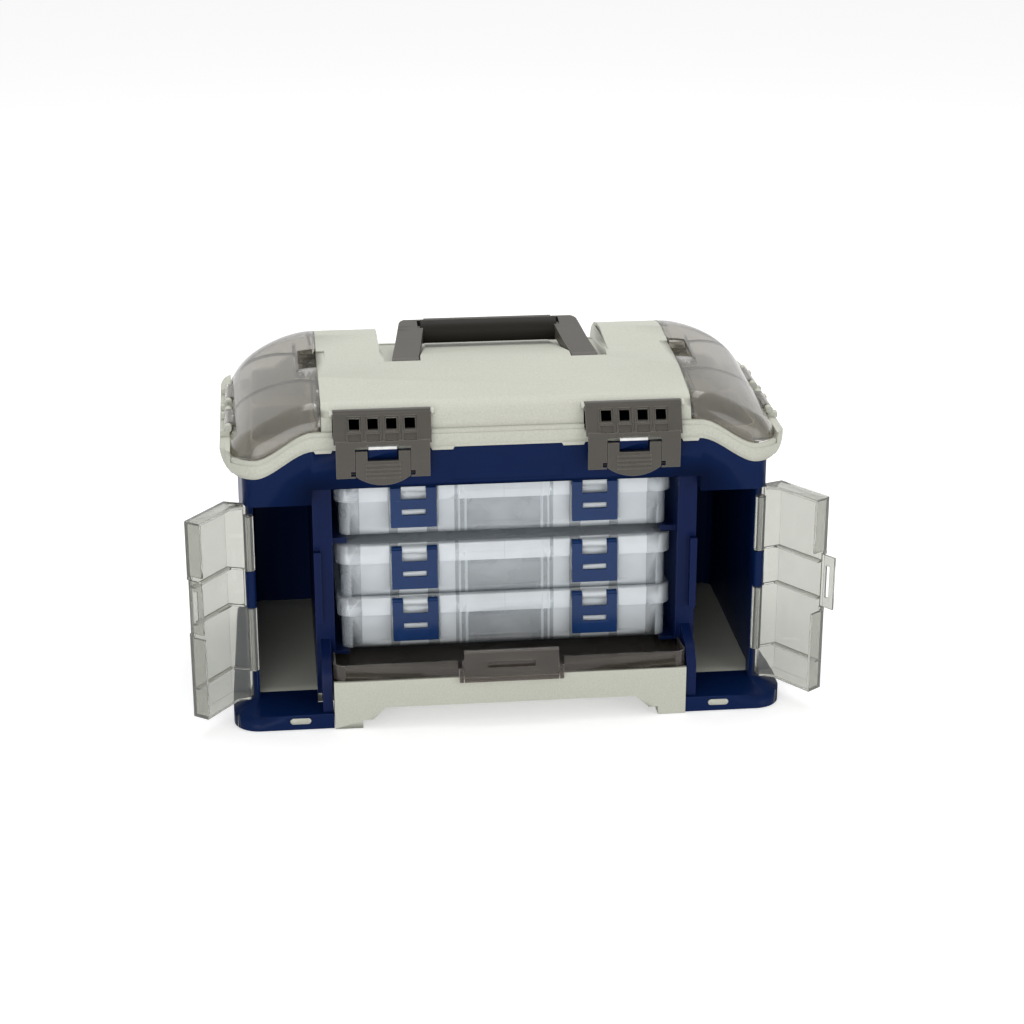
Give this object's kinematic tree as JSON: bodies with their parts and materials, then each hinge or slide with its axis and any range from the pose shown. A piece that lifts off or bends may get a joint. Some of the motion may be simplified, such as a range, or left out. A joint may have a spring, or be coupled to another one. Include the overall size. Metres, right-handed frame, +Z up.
{
  "type": "fishing tackle cabinet",
  "caption": "Box-shaped tackle cabinet with a domed lift-up lid, clear side doors, a clear front door stored below, and flat utility boxes that slide out of a tilted rack.",
  "frame": {"origin": "on the floor, at the middle of the footprint of the foot band", "axes": "+X to the right seen from the front, +Y from front to back, +Z up"},
  "size_m": [0.5259, 0.2696, 0.2895],
  "materials": {
    "body_blue": "moulded, fine grain, navy blue",
    "stone_plastic": "moulded, fine grain, pale stone",
    "rack_blue": "moulded, satin, navy blue",
    "bin_plastic": "moulded, satin, grey beige",
    "pin_steel": "drawn wire, bright",
    "keeper_white": "moulded, glossy, white",
    "box_clear": "clear, glossy",
    "box_lid_clear": "clear, glossy",
    "divider_clear": "clear, satin",
    "latch_blue": "moulded, glossy, bright blue",
    "front_door_smoke": "clear brown smoke, glossy",
    "side_door_smoke": "clear grey smoke, glossy",
    "cover_smoke": "clear brown-grey smoke, glossy",
    "grip_rubber": "moulded, matt, black",
    "latch_grey": "moulded, fine grain, warm grey"
  },
  "bodies": {
    "cabinet": {"body_shell": "body_blue", "base_pan": "stone_plastic", "rack_left": "rack_blue", "rack_right": "rack_blue", "rack_screws": "pin_steel", "base_screws": "pin_steel", "latch_keepers": "keeper_white", "side_door_pins": "pin_steel", "lid_hinge_pins": "pin_steel"},
    "lid": {"lid_shell": "stone_plastic", "lid_bin_left": "bin_plastic", "lid_bin_right": "bin_plastic", "top_cover_pins": "pin_steel", "handle_pins": "pin_steel", "latch_pins": "pin_steel"},
    "handle": {"handle_bail": "latch_grey", "handle_grip": "grip_rubber"},
    "cover_left": {"top_cover_left": "cover_smoke"},
    "cover_right": {"top_cover_right": "cover_smoke"},
    "main_latch_left": {"latch_left": "latch_grey", "lever_pins_left": "pin_steel"},
    "main_latch_right": {"latch_right": "latch_grey", "lever_pins_right": "pin_steel"},
    "lever_left": {"latch_lever_left": "latch_grey"},
    "lever_right": {"latch_lever_right": "latch_grey"},
    "front_panel": {"front_door": "front_door_smoke", "front_door_tab_pin": "pin_steel"},
    "front_panel_tab": {"front_door_tab": "front_door_smoke"},
    "door_left": {"side_door_left": "side_door_smoke"},
    "door_right": {"side_door_right": "side_door_smoke"},
    "door_tab_left": {"side_door_tab_left": "side_door_smoke"},
    "door_tab_right": {"side_door_tab_right": "side_door_smoke"},
    "box_1": {"box_1_tub": "box_clear", "box_1_lid": "box_lid_clear", "box_1_dividers": "divider_clear", "box_1_hinge_rod": "pin_steel"},
    "box_1_catch_left": {"box_1_latch_left": "latch_blue"},
    "box_1_catch_right": {"box_1_latch_right": "latch_blue"},
    "box_2": {"box_2_tub": "box_clear", "box_2_lid": "box_lid_clear", "box_2_dividers": "divider_clear", "box_2_hinge_rod": "pin_steel"},
    "box_2_catch_left": {"box_2_latch_left": "latch_blue"},
    "box_2_catch_right": {"box_2_latch_right": "latch_blue"},
    "box_3": {"box_3_tub": "box_clear", "box_3_lid": "box_lid_clear", "box_3_dividers": "divider_clear", "box_3_hinge_rod": "pin_steel"},
    "box_3_catch_left": {"box_3_latch_left": "latch_blue"},
    "box_3_catch_right": {"box_3_latch_right": "latch_blue"}
  },
  "joints": [
    {"name": "lid_hinge", "type": "hinge", "parent": "cabinet", "child": "lid", "pos_m": [0, 0.1326, 0.2355], "axis": [-1, 0, 0], "range_deg": [0, 100]},
    {"name": "handle_pivot", "type": "hinge", "parent": "lid", "child": "handle", "pos_m": [0, 0.003, 0.2705], "axis": [1, 0, 0], "range_deg": [0, 78]},
    {"name": "cover_left_hinge", "type": "hinge", "parent": "lid", "child": "cover_left", "pos_m": [-0.2235, 0, 0.23775], "axis": [0, -1, 0], "range_deg": [0, 110]},
    {"name": "cover_right_hinge", "type": "hinge", "parent": "lid", "child": "cover_right", "pos_m": [0.2235, 0, 0.23775], "axis": [0, 1, 0], "range_deg": [0, 110]},
    {"name": "main_latch_left_hinge", "type": "hinge", "parent": "lid", "child": "main_latch_left", "pos_m": [-0.101, -0.095, 0.263], "axis": [-1, 0, 0], "range_deg": [0, 110]},
    {"name": "lever_left_pivot", "type": "hinge", "parent": "main_latch_left", "child": "lever_left", "pos_m": [-0.101, -0.1085, 0.2165], "axis": [1, 0, 0], "range_deg": [0, 35]},
    {"name": "main_latch_right_hinge", "type": "hinge", "parent": "lid", "child": "main_latch_right", "pos_m": [0.101, -0.095, 0.263], "axis": [-1, 0, 0], "range_deg": [0, 110]},
    {"name": "lever_right_pivot", "type": "hinge", "parent": "main_latch_right", "child": "lever_right", "pos_m": [0.101, -0.1085, 0.2165], "axis": [1, 0, 0], "range_deg": [0, 35]},
    {"name": "door_left_hinge", "type": "hinge", "parent": "cabinet", "child": "door_left", "pos_m": [-0.21, -0.0908, 0.0001], "axis": [0, 0, -1], "range_deg": [-126.5, 12]},
    {"name": "door_right_hinge", "type": "hinge", "parent": "cabinet", "child": "door_right", "pos_m": [0.21, -0.0908, 0.0001], "axis": [0, 0, 1], "range_deg": [-126.5, 12]},
    {"name": "door_tab_right_hinge", "type": "hinge", "parent": "door_right", "child": "door_tab_right", "pos_m": [0.25789, -0.12086, 0.113], "axis": [0, 0, 1], "range_deg": [-90, 0]},
    {"name": "door_tab_left_hinge", "type": "hinge", "parent": "door_left", "child": "door_tab_left", "pos_m": [-0.25789, -0.12086, 0.113], "axis": [0, 0, -1], "range_deg": [0, 90]},
    {"name": "front_panel_slide", "type": "slide", "parent": "cabinet", "child": "front_panel", "axis": [0, -0.9976, 0.0698], "range_m": [0, 0.105]},
    {"name": "front_panel_tab_hinge", "type": "hinge", "parent": "front_panel", "child": "front_panel_tab", "pos_m": [0, -0.12784, 0.03989], "axis": [1, 0, 0], "range_deg": [0, 90]},
    {"name": "box_1_slide", "type": "slide", "parent": "cabinet", "child": "box_1", "axis": [0, -0.9976, 0.0698], "range_m": [0, 0.15]},
    {"name": "box_1_catch_left_hinge", "type": "hinge", "parent": "box_1", "child": "box_1_catch_left", "pos_m": [-0.075, -0.06532, 0.18696], "axis": [-1, 0, 0], "range_deg": [0, 80]},
    {"name": "box_1_catch_right_hinge", "type": "hinge", "parent": "box_1", "child": "box_1_catch_right", "pos_m": [0.075, -0.06532, 0.18696], "axis": [-1, 0, 0], "range_deg": [0, 80]},
    {"name": "box_2_slide", "type": "slide", "parent": "cabinet", "child": "box_2", "axis": [0, -0.9976, 0.0698], "range_m": [0, 0.15]},
    {"name": "box_2_catch_left_hinge", "type": "hinge", "parent": "box_2", "child": "box_2_catch_left", "pos_m": [-0.075, -0.06906, 0.13359], "axis": [-1, 0, 0], "range_deg": [0, 80]},
    {"name": "box_2_catch_right_hinge", "type": "hinge", "parent": "box_2", "child": "box_2_catch_right", "pos_m": [0.075, -0.06906, 0.13359], "axis": [-1, 0, 0], "range_deg": [0, 80]},
    {"name": "box_3_slide", "type": "slide", "parent": "cabinet", "child": "box_3", "axis": [0, -0.9976, 0.0698], "range_m": [0, 0.04]},
    {"name": "box_3_catch_left_hinge", "type": "hinge", "parent": "box_3", "child": "box_3_catch_left", "pos_m": [-0.075, -0.07222, 0.0884], "axis": [-1, 0, 0], "range_deg": [0, 80]},
    {"name": "box_3_catch_right_hinge", "type": "hinge", "parent": "box_3", "child": "box_3_catch_right", "pos_m": [0.075, -0.07222, 0.0884], "axis": [-1, 0, 0], "range_deg": [0, 80]}
  ]
}
